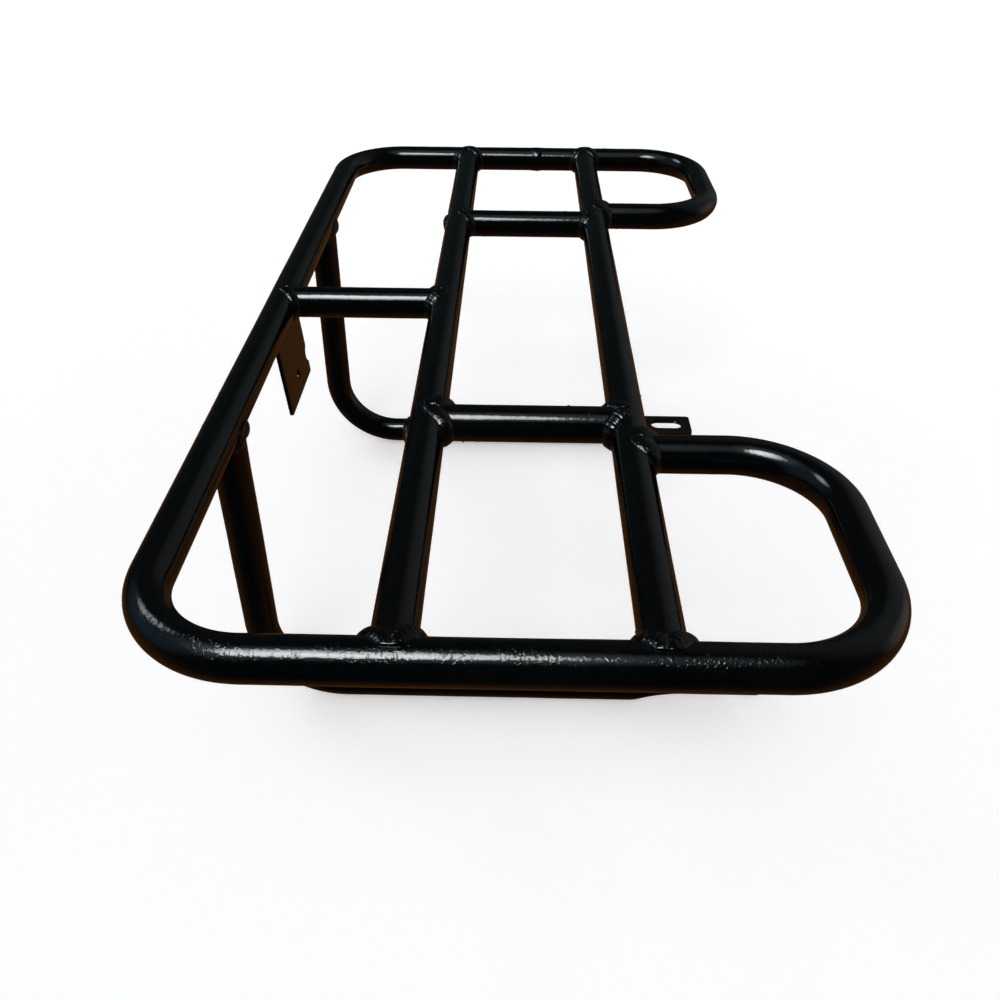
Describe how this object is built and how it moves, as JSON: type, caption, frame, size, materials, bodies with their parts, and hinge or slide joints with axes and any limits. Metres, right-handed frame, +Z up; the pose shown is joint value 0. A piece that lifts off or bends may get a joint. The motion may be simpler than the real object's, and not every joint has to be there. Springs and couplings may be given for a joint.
{
  "type": "luggage rack",
  "caption": "Welded tubular luggage rack: a bent-tube deck with two ears on L-shaped legs that end in pressed-flat slotted tabs, with a small hanging plate.",
  "frame": {"origin": "on the floor under the middle of the deck, between the two end rails and between the back rail and the ears", "axes": "+X along the rack to its right end, +Y forward to the ears, +Z up"},
  "size_m": [0.533, 0.264, 0.1692],
  "materials": {
    "tube": "gloss black powder coat over bent steel tube",
    "plate": "gloss black powder coat over flat steel",
    "weld": "gloss black powder coat over rippled weld"
  },
  "bodies": {
    "root": {"outer_rail": "tube", "inner_tube_back": "tube", "inner_tube_front": "tube", "crossbar_right": "tube", "crossbar_left": "tube", "crossbar_mid": "tube", "leg_right": "tube", "leg_left": "tube", "centre_plate": "plate", "bead_back_right": "weld", "bead_back_left": "weld", "bead_front_right": "weld", "bead_front_left": "weld", "bead_cross_right_b": "weld", "bead_cross_right_f": "weld", "bead_cross_left_b": "weld", "bead_cross_left_f": "weld", "bead_mid_b": "weld", "bead_mid_f": "weld", "bead_ear_right": "weld", "bead_ear_left": "weld", "bead_leg_right": "weld", "bead_leg_left": "weld", "bead_flank_right": "weld", "bead_flank_left": "weld", "bead_plate_out": "weld", "bead_plate_right": "weld", "bead_plate_left": "weld", "bead_rail_joint": "weld"}
  },
  "joints": []
}
